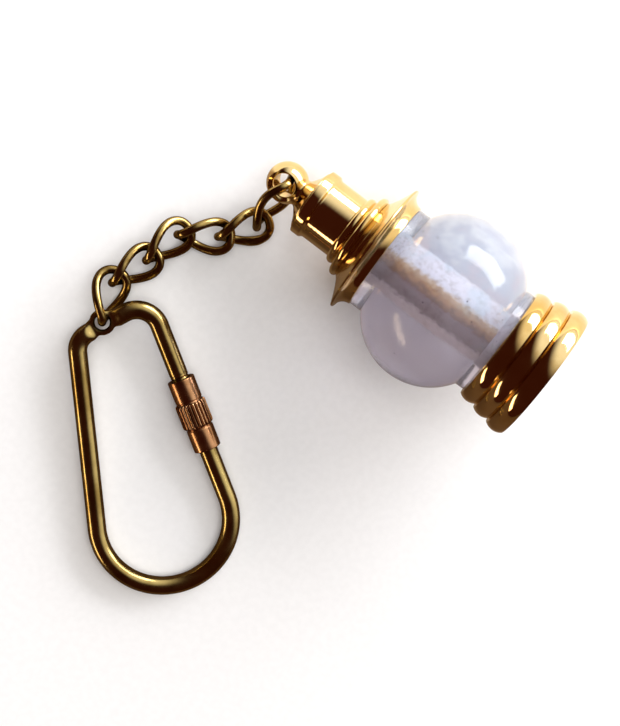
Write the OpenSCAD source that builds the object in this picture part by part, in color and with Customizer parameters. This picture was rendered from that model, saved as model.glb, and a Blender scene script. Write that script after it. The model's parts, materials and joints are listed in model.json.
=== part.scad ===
// Keychain light in the shape of a ship's lantern, lying at rest with its chain and clip.
// Millimetres, +Z up, the table at Z = 0. The lantern's axis runs from its cap (-X) to its base (+X).
// Lantern pieces are drawn about their own axis: Z is the distance from the globe's centre,
// towards the base, and -X is the side that faces up when the lantern lies down.

/* [Globe] */
// Largest radius of the globe
globe_r = 13.65; // [12.4:0.05:16.5]
// Radius of the arc that bulges the globe
bulge_r = 10.6; // [9.8:0.1:12.4]
// Radius of the short necks at both ends of the globe
neck_r = 8.7; // [8.3:0.1:9.6]
// Radius of the bore along the globe
core_r = 3.2; // [2.6:0.1:3.8]
// Distance from the globe's centre to the cap's lip
cap_seat = 10.9; // [9.6:0.1:13.2]
// Distance from the globe's centre to the base's mouth
base_seat = 10.3; // [9.2:0.1:12.6]

/* [Cap] */
// Radius of the cap's brim
brim_r = 10.8; // [10.2:0.1:12.9]
// Radius of the chimney
chimney_r = 5.1; // [4.4:0.1:6.1]
// Length of the plain part of the chimney
chimney_l = 4.9; // [3:0.1:8]
// Radius of the ball at the tip
ball_r = 3.25; // [2.8:0.05:3.9]
// Radius of the hole across the ball
ball_hole_r = 1.8; // [1.7:0.05:1.95]
// Turn of that hole about the lantern's axis, away from straight up
ball_hole_turn = 30; // [0:1:40]

/* [Base] */
// Radius of the base's first bead
bead_r = 9.8; // [9.6:0.1:11.8]
// Step in radius from one bead to the next
bead_step = 0.57; // [0.2:0.01:0.9]
// Width of each bead
bead_w = 2.82; // [2.6:0.02:3.4]
// Wall between the cells and the base's outer face
base_end_wall = 1.0; // [0.8:0.1:1.4]

/* [Light] */
// Diameter of one button cell
cell_d = 12.5; // [11.6:0.1:12.6]
// Height of one button cell
cell_h = 2.0; // [1.6:0.1:2.05]
// Diameter of the LED
led_d = 3.0; // [2:0.1:3.6]

/* [Chain] */
// Outer length of a link
link_l = 9.6; // [8:0.1:11.6]
// Outer width of a link, before its twist
link_w = 6.8; // [6:0.1:8.2]
// Diameter of the link's wire
link_wire = 1.4; // [1.1:0.05:1.5]
// Play between neighbouring links
link_play = 0.6; // [0.2:0.05:1]
// Outer length of the link through the ball
first_link_l = 11.0; // [10.4:0.1:13.2]
// Room at each side of the ball inside that link
first_link_room = 0.15; // [0.05:0.05:0.5]

/* [Clip] */
// Diameter of the clip's wire
clip_wire = 2.9; // [2.4:0.1:3.2]
// Radius of the wide bend, on the wire's centre line
wide_bend_r = 10.5; // [9:0.1:12.6]
// Radius of the bend between spine and top bar
spine_bend_r = 3.05; // [2.6:0.05:3.6]
// Radius of the bend between top bar and gate leg
gate_bend_r = 3.7; // [3:0.05:4.4]
// Distance from the wide bend's centre to the small bends
clip_reach = 28.8; // [26:0.1:34.5]
// Radius of the flat eye in the top bar
eye_r = 2.0; // [1.9:0.05:2.4]
// Radius of the hole in the eye
eye_hole_r = 1.15; // [1.1:0.05:1.25]

/* [Gate sleeve] */
// Length of the sleeve
sleeve_l = 11.8; // [10.4:0.1:12.4]
// Diameter of the sleeve's plain barrels
sleeve_d = 4.3; // [4.2:0.1:5.1]
// Diameter over the knurl
knurl_d = 4.9; // [4.8:0.1:5.8]
// Length of the knurled ring
knurl_l = 3.9; // [3:0.1:4.8]
// Number of grooves in the knurl
knurl_count = 24; // [16:1:32]
// Gap in the wire that the sleeve closes
gate_gap = 3.5; // [2.5:0.1:4]

/* [Hidden] */
$fn = 96;

brass = "#C9A048";
antique = "#8A6F35";
coppery = "#A9744A";
acrylic = "#DDE3EC";

// Clearances
fit = 0.05;            // running fit of turned pieces, on the radius
slack = 0.1;           // room between pieces that only locate each other
face_gap = 0.02;       // between faces that rest on each other

// Lantern, measured along its axis from the globe's centre
spigot_top_r = neck_r - 0.9;
spigot_base_r = neck_r - 1.1;
spigot_top_l = 3.4;
spigot_base_l = 1.7;
lip_t = 0.25;
brim_drop = 2.15;                         // lip to the brim's edge
brim_edge = 0.25;                         // width of the brim's edge
brim_z = -cap_seat - brim_drop;           // end of the brim's edge that the lantern rests on
large_bead_r = brim_r - 3.8;
small_bead_r = chimney_r + 0.7;
flange_r = chimney_r + 0.4;
flare_l = 2.2;
large_bead_l = 1.3;
small_bead_l = 1.5;
flange_l = 1.9;
flare_z = brim_z - flare_l;
large_bead_z = flare_z - large_bead_l;
small_bead_z = large_bead_z - small_bead_l;
chimney_z = small_bead_z - chimney_l;
flange_z = chimney_z - flange_l;          // where the finial sits
shoulder_l = 1.75;
shoulder_r = chimney_r - 0.15;
finial_neck_r = 2.35;
ball_stem = 2.9;                          // ball centre to the foot of the shoulder
ball_z = flange_z - shoulder_l - ball_stem;
mouth_depth = 1.8;                        // where the hole's mouths start to widen, from the ball's centre
shank_r = 1.5;
shank_l = 5;

// Rest pose: the globe touches the table, and so does the brim's edge or the ball, whichever meets it first
bulge_c = globe_r - bulge_r;              // the bulge arc's centre, off the axis
brim_lie = atan2(-brim_z, brim_r - bulge_c) - acos(bulge_r / norm([brim_z, brim_r - bulge_c]));
ball_lie = atan2(-ball_z, -bulge_c) - acos((bulge_r - ball_r) / norm([ball_z, bulge_c]));
lie = min(brim_lie, ball_lie);
globe_z = bulge_c * cos(lie) + bulge_r;   // height of the globe's centre
globe_at = [11.2, 25.74, globe_z];        // the origin is then under the middle of the whole object

// Base: a cup of three beads that screws on a collar round the globe's lower spigot
collar_r = neck_r - 0.2;
collar_inner_r = spigot_base_r;
collar_l = 5.1;
collar_z = base_seat + 0.2;
mouth_z = base_seat + slack;
base_l = 3 * bead_w;
base_end = mouth_z + base_l;
pocket_end = base_end - base_end_wall;
groove_depth = 0.5;
bead_bulge_r = (pow(bead_w / 2, 2) + pow(groove_depth, 2)) / (2 * groove_depth);
thread_bore_r = collar_r + slack;
thread_bore_end = collar_z + collar_l + 0.3;
tray_r = collar_inner_r - slack;
tray_bore_r = tray_r + slack;
seal_wire_r = 0.25;
seal_z = collar_z + 0.5;
seal_groove = 2 * seal_wire_r + 0.04;

// Light: LED, its board, two cells and a spring
board_z = base_seat + spigot_base_l + slack;
board_t = 0.6;
spring_t = 0.25;
spring_rise = 0.35;
cells_end = pocket_end - spring_rise - spring_t - 2 * face_gap;
upper_cell_z = cells_end - 2 * cell_h - face_gap;
lower_cell_z = cells_end - cell_h;
tray_pocket_r = cell_d / 2 + slack;
tray_lip_r = cell_d / 2 - 1;
tray_lip_t = 0.3;
led_r = led_d / 2;
led_flange_r = led_r + 0.4;
led_flange_t = 1.0;
led_body_l = 2.8;
led_base_z = board_z - slack;
led_tip_z = led_base_z - led_flange_t - led_body_l;
holder_z = led_tip_z + led_r + 0.3;
lead_r = 0.2;
lead_offset = 0.9;
lead_gap = face_gap;

// Chain: each link's direction towards the clip, counted from the one through the ball
link_heading = [-86.4, -126, -145, -103, -109, -67];
link_sides = 8;
link_rings = 40;
link_r = link_wire / 2;
link_axis_z = 0.435 * link_w;                             // its lowest strand is then on the table
link_reach = link_l - link_wire;                          // between the wire's centres at both ends
link_pitch = link_reach - link_wire - link_play;
first_reach = first_link_l - link_wire;
ball_centre = globe_at + ball_z * [cos(lie), 0, sin(lie)];
hole_side_play = ball_hole_r - link_r - 0.1;              // the wire lies off the hole's centre line
first_pivot = ball_centre + [0, hole_side_play * cos(ball_hole_turn), hole_side_play * sin(ball_hole_turn)];
first_drop = asin((first_pivot[2] - link_axis_z) / first_reach);
first_link_w = 2 * (ball_r + link_wire + first_link_room);
// Turn of a link's plane about its own length: at the lantern's end, midway and at the clip's end
plain_twist = [0, 45, 90];
// Squareness of a link's outline: 1 is an oval, less is squarer
link_square = 0.86;
first_square = 0.7;
first_far_w = link_w + 0.5;
first_twist = [90, 60, 96];

function heading_of(k) = [cos(link_heading[k]), sin(link_heading[k]), 0];
function first_direction() = [cos(link_heading[0]) * cos(first_drop), sin(link_heading[0]) * cos(first_drop),
                              -sin(first_drop)];
// Centre of the wire at link k's clip end, where the next link hangs
function pivot(k) = k == 0 ? first_pivot + first_direction() * first_reach
                           : pivot(k - 1) + heading_of(k) * link_pitch;

// Clip: three bends joined by straight legs, with its own X from the wide bend to the top bar
clip_heading = 141.5;
clip_r = clip_wire / 2;
spine_bend_at = [clip_reach, 3.2];
gate_bend_at = [clip_reach + 1, -3.15];
eye_share = 0.42;                                          // how far along the top bar the eye is
eye_out = 0.4;                                             // how far it stands outside the wire's line
eye_t = 1.75;
eye_chamfer = 0.3;
bend_lap = 0.2;
bend_relief = 0.015;
// Angle of the outward normal of the straight leg that joins two bends, seen from the first
function leg_normal(a, ra, b, rb) = atan2(b[1] - a[1], b[0] - a[0]) - acos((ra - rb) / norm(b - a));
function on_bend(c, r, angle) = c + r * [cos(angle), sin(angle)];
gate_normal = leg_normal([0, 0], wide_bend_r, gate_bend_at, gate_bend_r);
top_normal = leg_normal(gate_bend_at, gate_bend_r, spine_bend_at, spine_bend_r);
spine_normal = leg_normal(spine_bend_at, spine_bend_r, [0, 0], wide_bend_r) + 360;
gate_foot = on_bend([0, 0], wide_bend_r, gate_normal);
gate_head = on_bend(gate_bend_at, gate_bend_r, gate_normal);
top_start = on_bend(gate_bend_at, gate_bend_r, top_normal);
top_end = on_bend(spine_bend_at, spine_bend_r, top_normal);
spine_head = on_bend(spine_bend_at, spine_bend_r, spine_normal);
spine_foot = on_bend([0, 0], wide_bend_r, spine_normal);
eye_at = top_end + (top_start - top_end) * eye_share + eye_out * [cos(top_normal), sin(top_normal)];
eye_z = link_axis_z + 0.3;
clip_end = pivot(5);

// Gate sleeve on the gate leg, measured along the leg from the wide bend
sleeve_foot = 8.4;
sleeve_grip = 2.2;                                         // how far it holds the lower wire end
sleeve_bore_r = clip_r + fit;
knurl_seat_r = (sleeve_d / 2 + sleeve_bore_r) / 2 + 0.06;
knurl_gap = 0.06;
knurl_groove_r = 0.16;
knurl_foot = sleeve_foot + (sleeve_l - knurl_l) / 2;

// The wide bend rests on the table, or the knurl does if it meets it first
bend_tilt = asin((eye_z - clip_r) / (norm(eye_at) + wide_bend_r));
knurl_tilt = asin((eye_z - knurl_d / 2) / (eye_at[0] - gate_foot[0] - knurl_foot));
clip_tilt = min(bend_tilt, knurl_tilt);

module on_lantern() {
    translate(globe_at)
        rotate([0, 90 - lie, 0])
            children();
}

module ring(outer, inner, z, h) {
    translate([0, 0, z])
        difference() {
            cylinder(r = outer, h = h);
            translate([0, 0, -1])
                cylinder(r = inner, h = h + 2);
        }
}

// Points of an arc, for a turned profile
function arc(c, r, from, to, n) = [for (i = [0:n]) c + r * [cos(from + (to - from) * i / n),
                                                            sin(from + (to - from) * i / n)]];

module finial() {
    neck_foot = flange_z - shoulder_l;
    color(brass)
        on_lantern()
            difference() {
                union() {
                    translate([0, 0, ball_z])
                        sphere(r = ball_r);
                    translate([0, 0, ball_z])
                        cylinder(r = finial_neck_r, h = neck_foot - ball_z);
                    translate([0, 0, neck_foot])
                        rotate_extrude()
                            polygon([[0, 0], [finial_neck_r, 0], [shoulder_r, shoulder_l - 0.3],
                                     [shoulder_r, shoulder_l], [0, shoulder_l]]);
                    translate([0, 0, flange_z - 0.1])
                        cylinder(r = shank_r, h = shank_l + 0.1);
                }
                translate([0, 0, ball_z])
                    rotate([0, 0, ball_hole_turn])
                        rotate([0, 90, 0]) {
                            cylinder(r = ball_hole_r, h = 4 * ball_r, center = true);
                            for (mouth = [-1, 1])
                                scale(mouth)
                                    translate([0, 0, mouth_depth])
                                        cylinder(r1 = ball_hole_r, r2 = ball_hole_r + ball_r, h = ball_r);
                        }
            }
}

module cap() {
    cove = brim_drop - brim_edge;
    color(brass)
        on_lantern()
            difference() {
                rotate_extrude()
                    polygon(concat(
                        [[0, flange_z + face_gap], [flange_r - 0.2, flange_z + face_gap],
                         [flange_r, flange_z + 0.25], [flange_r, chimney_z - 0.35],
                         [chimney_r, chimney_z], [chimney_r, small_bead_z]],
                        arc([small_bead_r - small_bead_l / 2, small_bead_z + small_bead_l / 2],
                            small_bead_l / 2, -80, 80, 8),
                        [[chimney_r, large_bead_z]],
                        arc([large_bead_r - large_bead_l / 2, large_bead_z + large_bead_l / 2],
                            large_bead_l / 2, -80, 80, 8),
                        [[large_bead_r - 0.3, flare_z],
                         [(large_bead_r + brim_r) / 2 - 0.2, brim_z - 0.95],
                         [brim_r, brim_z], [brim_r, brim_z + brim_edge]],
                        arc([brim_r, -cap_seat], cove, -95, -175, 6),
                        [[neck_r + 0.05, -cap_seat - lip_t], [neck_r - 0.05, -cap_seat - face_gap],
                         [0, -cap_seat - face_gap]]));
                translate([0, 0, -cap_seat - spigot_top_l - slack])
                    cylinder(r = spigot_top_r + fit, h = spigot_top_l + 1);
                translate([0, 0, flange_z - 1])
                    cylinder(r = shank_r + fit, h = shank_l + 1.2);
            }
}

module globe() {
    color(acrylic)
        on_lantern()
            difference() {
                union() {
                    rotate_extrude()
                        intersection() {
                            translate([bulge_c, 0])
                                circle(r = bulge_r);
                            translate([0, -cap_seat])
                                square([globe_r + 1, cap_seat + base_seat]);
                        }
                    translate([0, 0, -cap_seat])
                        cylinder(r = neck_r, h = cap_seat + base_seat);
                    translate([0, 0, -cap_seat - spigot_top_l])
                        cylinder(r = spigot_top_r, h = spigot_top_l + 1);
                    translate([0, 0, base_seat - 1])
                        cylinder(r = spigot_base_r, h = spigot_base_l + 1);
                }
                translate([0, 0, -cap_seat - spigot_top_l - 1])
                    cylinder(r = core_r, h = cap_seat + spigot_top_l + base_seat + spigot_base_l + 2);
            }
}

module thread_collar() {
    color(brass)
        on_lantern()
            difference() {
                ring(collar_r, collar_inner_r + face_gap, collar_z, collar_l);
                ring(collar_r + 1, collar_r - 2 * seal_wire_r + slack - 0.03, seal_z - seal_groove / 2,
                     seal_groove);
            }
}

module seal_ring() {
    color("#2A2A2A")
        on_lantern()
            translate([0, 0, seal_z])
                rotate_extrude()
                    translate([thread_bore_r - face_gap - seal_wire_r, 0])
                        circle(r = seal_wire_r, $fn = 32);
}

module led_holder() {
    color("whitesmoke")
        on_lantern()
            difference() {
                translate([0, 0, holder_z])
                    cylinder(r = core_r - fit, h = led_base_z - holder_z);
                translate([0, 0, holder_z - 1])
                    cylinder(r = led_r + fit, h = led_base_z - holder_z + 2);
                translate([0, 0, led_base_z - led_flange_t - slack])
                    cylinder(r = led_flange_r + fit, h = led_flange_t + 1);
            }
}

module led() {
    color("ghostwhite")
        on_lantern() {
            translate([0, 0, led_tip_z + led_r])
                sphere(r = led_r);
            translate([0, 0, led_tip_z + led_r])
                cylinder(r = led_r, h = led_base_z - led_flange_t / 2 - led_tip_z - led_r);
            translate([0, 0, led_base_z - led_flange_t])
                cylinder(r = led_flange_r, h = led_flange_t);
        }
}

// A lead leaves the LED's base, crosses the board and folds flat behind it
module led_lead(side, fold) {
    behind = board_z + board_t + lead_gap;
    color("silver")
        on_lantern() {
            translate([0, side * lead_offset, led_base_z])
                cylinder(r = lead_r, h = behind + lead_r - led_base_z);
            translate([0, side * lead_offset, behind + lead_r])
                rotate([-side * 90, 0, 0])
                    cylinder(r = lead_r, h = fold);
            translate([0, side * lead_offset, behind + lead_r])
                sphere(r = lead_r);
        }
}

module led_lead_long() {
    led_lead(1, 2.6);
}

module led_lead_short() {
    led_lead(-1, tray_pocket_r - lead_offset - 1);
}

module contact_board() {
    color("seagreen")
        on_lantern()
            difference() {
                translate([0, 0, board_z])
                    cylinder(r = collar_inner_r - fit, h = board_t);
                for (side = [-1, 1])
                    translate([0, side * lead_offset, board_z - 1])
                        cylinder(r = lead_r + fit, h = board_t + 2);
            }
}

module cell_tray() {
    color("dimgray")
        on_lantern() {
            ring(tray_r, tray_pocket_r, upper_cell_z + 0.4, cells_end - upper_cell_z - 0.4);
            ring(tray_r, tray_lip_r, cells_end + face_gap, tray_lip_t);
            ring(tray_r, tray_pocket_r, cells_end - 0.1, face_gap + 0.2);
        }
}

module cell(z) {
    color("gainsboro")
        on_lantern()
            translate([0, 0, z]) {
                cylinder(r = cell_d / 2 - 1.2, h = 0.35);
                translate([0, 0, 0.3])
                    cylinder(r = cell_d / 2, h = cell_h - 0.3);
            }
}

module upper_cell() {
    cell(upper_cell_z);
}

module lower_cell() {
    cell(lower_cell_z);
}

module contact_spring() {
    foot_z = cells_end + face_gap;
    color("silver")
        on_lantern()
            rotate_extrude()
                polygon([[1.2, foot_z], [1.8, foot_z], [4.4, foot_z + spring_rise],
                         [4.9, foot_z + spring_rise], [4.9, foot_z + spring_rise + spring_t],
                         [4.3, foot_z + spring_rise + spring_t], [1.7, foot_z + spring_t],
                         [1.2, foot_z + spring_t]]);
}

module base_cup() {
    color(brass)
        on_lantern()
            difference() {
                rotate_extrude()
                    union() {
                        for (i = [0:2]) {
                            outer = bead_r + i * bead_step;
                            intersection() {
                                translate([outer - bead_bulge_r, mouth_z + (i + 0.5) * bead_w])
                                    circle(r = bead_bulge_r);
                                translate([0, mouth_z + i * bead_w])
                                    square([outer + 1, bead_w]);
                            }
                            translate([0, mouth_z + i * bead_w])
                                square([outer - groove_depth - 0.25, bead_w]);
                        }
                    }
                translate([0, 0, mouth_z - 1])
                    cylinder(r = thread_bore_r, h = thread_bore_end - mouth_z + 1);
                translate([0, 0, mouth_z])
                    cylinder(r = tray_bore_r, h = pocket_end - mouth_z);
            }
}

// One round-wire link about its own centre, with its lantern end at +X. A link may be wider and squarer
// at that end than at the other.
function rounded(x, power) = sign(x) * pow(abs(x), power);
function twist_at(x, twist) = twist[1] + (twist[0] - twist[2]) / 2 * x
                              + ((twist[0] + twist[2]) / 2 - twist[1]) * x * x;
function link_point(t, half_l, half_w_far, half_w_near, square_near, twist) =
    let (power = cos(t) > 0 ? link_square + (square_near - link_square) * cos(t) ^ 2 : link_square,
         x = rounded(cos(t), power),
         half_w = half_w_far + (half_w_near - half_w_far) * pow((x + 1) / 2, 1.3),
         w = half_w * rounded(sin(t), power),
         turn = twist_at(x, twist))
    [half_l * x, w * cos(turn), w * sin(turn)];

module link(half_l, half_w_far, half_w_near, square_near, twist) {
    function centre(t) = link_point(t, half_l, half_w_far, half_w_near, square_near, twist);
    function tangent(t) = let (d = centre(t + 1) - centre(t - 1)) d / norm(d);
    // The side direction points out of the link, square to the wire
    function side(t) = let (c = centre(t),
                            n = [c[0] * 0.4, c[1], c[2]] - (c * tangent(t)) * tangent(t),
                            m = n - (n * tangent(t)) * tangent(t))
                       m / norm(m);
    points = [for (i = [0:link_rings - 1], j = [0:link_sides - 1])
              let (t = 360 * (i + 0.5) / link_rings,
                   a = 360 * j / link_sides,
                   s = side(t),
                   b = cross(tangent(t), s))
              centre(t) + link_r * (cos(a) * s + sin(a) * b)];
    faces = [for (i = [0:link_rings - 1], j = [0:link_sides - 1])
             let (i2 = (i + 1) % link_rings, j2 = (j + 1) % link_sides)
             [i2 * link_sides + j, i2 * link_sides + j2, i * link_sides + j2, i * link_sides + j]];
    polyhedron(points = points, faces = faces, convexity = 6);
}

// A later link: the wire of the link before it lies inside its round end
module later_link(k) {
    start = pivot(k - 1) - heading_of(k) * (link_wire + link_play);
    color(antique)
        translate(start + heading_of(k) * link_reach / 2)
            rotate([0, 0, link_heading[k] + 180])
                link(link_reach / 2, link_w / 2 - link_r, link_w / 2 - link_r, link_square, plain_twist);
}

module chain_link_1() {
    color(antique)
        translate((first_pivot + pivot(0)) / 2)
            rotate([0, 0, link_heading[0] + 180])
                rotate([0, -first_drop, 0])
                    link(first_reach / 2, first_far_w / 2 - link_r, first_link_w / 2 - link_r, first_square,
                         first_twist);
}

module chain_link_2() {
    later_link(1);
}

module chain_link_3() {
    later_link(2);
}

module chain_link_4() {
    later_link(3);
}

module chain_link_5() {
    later_link(4);
}

module chain_link_6() {
    later_link(5);
}

// The eye is on the last link's wire, and the wide bend rests on the table
module on_clip() {
    translate([clip_end[0], clip_end[1], eye_z])
        rotate([0, 0, clip_heading])
            rotate([0, -clip_tilt, 0])
                translate([-eye_at[0], -eye_at[1], 0])
                    children();
}

// A bend is a hair thinner than the legs and reaches a little way into them
module bend(at, r, from, to) {
    lap = bend_lap / r * 180 / PI;
    translate([at[0], at[1], 0])
        rotate([0, 0, from - lap])
            rotate_extrude(angle = to - from + 2 * lap)
                translate([r, 0])
                    circle(r = clip_r - bend_relief, $fn = 48);
}

module leg(from, to, r) {
    run = to - from;
    translate([from[0], from[1], 0])
        rotate([0, 0, atan2(run[1], run[0])])
            rotate([0, 90, 0])
                cylinder(r = r, h = norm(run), $fn = 48);
}

module on_gate() {
    translate([gate_foot[0], gate_foot[1], 0])
        rotate([0, 0, gate_normal + 90])
            rotate([0, 90, 0])
                children();
}

module clip_loop() {
    color(antique)
        on_clip()
            difference() {
                union() {
                    difference() {
                        union() {
                            bend([0, 0], wide_bend_r, spine_normal, gate_normal + 360);
                            leg(gate_foot, gate_head, clip_r);
                            bend(gate_bend_at, gate_bend_r, gate_normal, top_normal);
                            leg(top_start, top_end, clip_r);
                            bend(spine_bend_at, spine_bend_r, top_normal, spine_normal);
                            leg(spine_head, spine_foot, clip_r);
                        }
                        for (s = [-1, 1])
                            translate([eye_at[0], eye_at[1], s * (eye_t / 2 + 2)])
                                cylinder(r = eye_r + 0.5, h = 4, center = true);
                        on_gate()
                            translate([0, 0, sleeve_foot + sleeve_grip])
                                cylinder(r = clip_wire, h = gate_gap);
                    }
                    translate([eye_at[0], eye_at[1], -eye_t / 2])
                        cylinder(r = eye_r, h = eye_t);
                }
                translate([eye_at[0], eye_at[1], -clip_wire])
                    cylinder(r = eye_hole_r, h = 2 * clip_wire);
                for (face = [-1, 1])
                    translate([eye_at[0], eye_at[1], face * eye_t / 2])
                        scale([1, 1, face])
                            translate([0, 0, -eye_chamfer])
                                cylinder(r1 = eye_hole_r, r2 = eye_hole_r + 2 * eye_chamfer,
                                         h = 2 * eye_chamfer);
            }
}

module gate_sleeve() {
    color(coppery)
        on_clip()
            on_gate()
                difference() {
                    union() {
                        translate([0, 0, sleeve_foot])
                            cylinder(r = sleeve_d / 2, h = knurl_foot - knurl_gap - sleeve_foot);
                        translate([0, 0, sleeve_foot])
                            cylinder(r = knurl_seat_r, h = sleeve_l);
                        translate([0, 0, knurl_foot + knurl_l + knurl_gap])
                            cylinder(r = sleeve_d / 2,
                                     h = sleeve_foot + sleeve_l - knurl_foot - knurl_l - knurl_gap);
                    }
                    translate([0, 0, sleeve_foot - 1])
                        cylinder(r = sleeve_bore_r, h = sleeve_l + 2);
                }
}

module knurl_ring() {
    color(coppery)
        on_clip()
            on_gate()
                difference() {
                    ring(knurl_d / 2, knurl_seat_r + fit, knurl_foot, knurl_l);
                    for (i = [0:knurl_count - 1])
                        rotate([0, 0, 360 * i / knurl_count])
                            translate([knurl_d / 2 + 0.02, 0, knurl_foot - 1])
                                cylinder(r = knurl_groove_r, h = knurl_l + 2, $fn = 16);
                }
}

finial();
cap();
globe();
thread_collar();
seal_ring();
led_holder();
led();
led_lead_long();
led_lead_short();
contact_board();
cell_tray();
upper_cell();
lower_cell();
contact_spring();
base_cup();
chain_link_1();
chain_link_2();
chain_link_3();
chain_link_4();
chain_link_5();
chain_link_6();
clip_loop();
gate_sleeve();
knurl_ring();
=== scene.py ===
import json
import math
import bmesh
import bpy
from mathutils import Matrix, Vector


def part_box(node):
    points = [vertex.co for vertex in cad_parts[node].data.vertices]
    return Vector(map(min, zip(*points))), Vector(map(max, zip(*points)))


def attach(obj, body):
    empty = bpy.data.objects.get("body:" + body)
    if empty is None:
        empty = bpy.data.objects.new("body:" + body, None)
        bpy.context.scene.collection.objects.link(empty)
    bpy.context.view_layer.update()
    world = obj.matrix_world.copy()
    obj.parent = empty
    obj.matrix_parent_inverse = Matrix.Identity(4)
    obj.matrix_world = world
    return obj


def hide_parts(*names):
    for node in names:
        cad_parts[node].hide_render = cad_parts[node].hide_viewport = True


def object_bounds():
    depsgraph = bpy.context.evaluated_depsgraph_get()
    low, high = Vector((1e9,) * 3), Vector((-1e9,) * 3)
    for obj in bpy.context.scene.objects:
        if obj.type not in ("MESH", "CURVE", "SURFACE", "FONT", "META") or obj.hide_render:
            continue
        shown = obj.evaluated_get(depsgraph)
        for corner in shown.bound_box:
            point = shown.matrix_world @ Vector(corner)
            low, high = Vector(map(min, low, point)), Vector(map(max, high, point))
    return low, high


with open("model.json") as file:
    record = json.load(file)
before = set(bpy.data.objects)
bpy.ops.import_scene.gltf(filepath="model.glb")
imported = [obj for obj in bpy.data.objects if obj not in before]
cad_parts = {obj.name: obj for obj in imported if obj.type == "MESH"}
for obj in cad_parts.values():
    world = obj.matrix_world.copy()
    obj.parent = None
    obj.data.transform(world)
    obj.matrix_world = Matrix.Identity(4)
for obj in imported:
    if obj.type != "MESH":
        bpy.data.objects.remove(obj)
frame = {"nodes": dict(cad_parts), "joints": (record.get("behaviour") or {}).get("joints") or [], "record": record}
record = frame["record"]
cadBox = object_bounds()
mm = 0.001
joints = {joint["name"]: joint for joint in frame["joints"]}
mounts = {mount["name"]: mount for mount in record["mounts"]}


def linear(hexColour):
    # an sRGB hex colour as the linear values that Blender works in
    parts = [int(hexColour[i:i + 2], 16) / 255 for i in (1, 3, 5)]
    return [c / 12.92 if c <= 0.04045 else ((c + 0.055) / 1.055) ** 2.4 for c in parts] + [1.0]


def addNode(tree, kind, settings=None, links=None):
    # settings are the node's own properties, its sockets by name or number, or a ramp's stops
    node = tree.nodes.new(kind)
    for key, value in (settings or {}).items():
        if key == "stops":
            ramp = node.color_ramp
            ramp.interpolation = "EASE"
            while len(ramp.elements) < len(value):
                ramp.elements.new(0.5)
            for element, (place, shade) in zip(ramp.elements, value):
                element.position = place
                element.color = linear(shade) if isinstance(shade, str) else (shade, shade, shade, 1)
        elif isinstance(key, str) and key in node.bl_rna.properties:
            setattr(node, key, value)
        else:
            node.inputs[key].default_value = value
    for key, source in (links or {}).items():
        tree.links.new(source, node.inputs[key])
    return node


def newMaterial(name, constants):
    material = bpy.data.materials.new(name)
    material.use_nodes = True
    tree = material.node_tree
    tree.nodes.clear()
    shader = addNode(tree, "ShaderNodeBsdfPrincipled", constants)
    addNode(tree, "ShaderNodeOutputMaterial", links={"Surface": shader.outputs[0]})
    return material, tree, shader


def newTree(name, inputs, result):
    # a geometry tree with its named inputs and its one result
    tree = bpy.data.node_groups.new(name, "GeometryNodeTree")
    sockets = {}
    for label, kind in inputs.items():
        sockets[label] = tree.interface.new_socket(
            name=label, in_out="INPUT", socket_type="NodeSocket" + kind)
    tree.interface.new_socket(name=result, in_out="OUTPUT", socket_type="NodeSocketGeometry")
    return tree, sockets, addNode(tree, "NodeGroupInput")


def sweepAlong(tree, path, section):
    # the section is scaled by the path's radius, which newer versions ask for by a socket
    swept = addNode(tree, "GeometryNodeCurveToMesh", {"Fill Caps": True},
                    {"Curve": path, "Profile Curve": section})
    if "Scale" in swept.inputs:
        tree.links.new(addNode(tree, "GeometryNodeInputRadius").outputs[0], swept.inputs["Scale"])
    return swept


def endTree(tree, shape, finish):
    real = addNode(tree, "GeometryNodeRealizeInstances", links={"Geometry": shape})
    finished = addNode(tree, "GeometryNodeSetMaterial",
                       links={"Geometry": real.outputs[0], "Material": finish})
    addNode(tree, "NodeGroupOutput", links={0: finished.outputs[0]})


def newObject(name, data):
    thing = bpy.data.objects.new(name, data)
    bpy.context.scene.collection.objects.link(thing)
    return thing


def shadeSmooth(mesh, sharpAngle):
    for polygon in mesh.polygons:
        polygon.use_smooth = True
    if sharpAngle is not None:
        mesh.set_sharp_from_angle(angle=math.radians(sharpAngle))


def plainMesh(piece, sharpAngle=None):
    # the modifiers' result becomes the piece's own mesh
    graph = bpy.context.evaluated_depsgraph_get()
    graph.update()
    mesh = bpy.data.meshes.new_from_object(piece.evaluated_get(graph))
    piece.modifiers.clear()
    old = piece.data
    piece.data = mesh
    bpy.data.meshes.remove(old)
    shadeSmooth(mesh, sharpAngle)
    return piece


def treePiece(name, start, tree, sockets, values, sharpAngle=None):
    # a piece shaped by a node tree, whose inputs are set by their sockets' identifiers
    piece = newObject(name, start)
    modifier = piece.modifiers.new("shape", "NODES")
    modifier.node_group = tree
    for label, value in values.items():
        modifier[sockets[label].identifier] = value
    return plainMesh(piece, sharpAngle)


def meshPiece(name, points, faces, material, sharpAngle=34):
    mesh = bpy.data.meshes.new(name)
    mesh.from_pydata([tuple(p * mm) for p in points], [], faces)
    mesh.validate()
    shadeSmooth(mesh, sharpAngle)
    mesh.materials.append(material)
    return newObject(name, mesh)


def faceOutwards(piece):
    bm = bmesh.new()
    bm.from_mesh(piece.data)
    bmesh.ops.remove_doubles(bm, verts=bm.verts, dist=1e-7)
    bmesh.ops.recalc_face_normals(bm, faces=bm.faces)
    bm.to_mesh(piece.data)
    bm.free()


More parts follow.
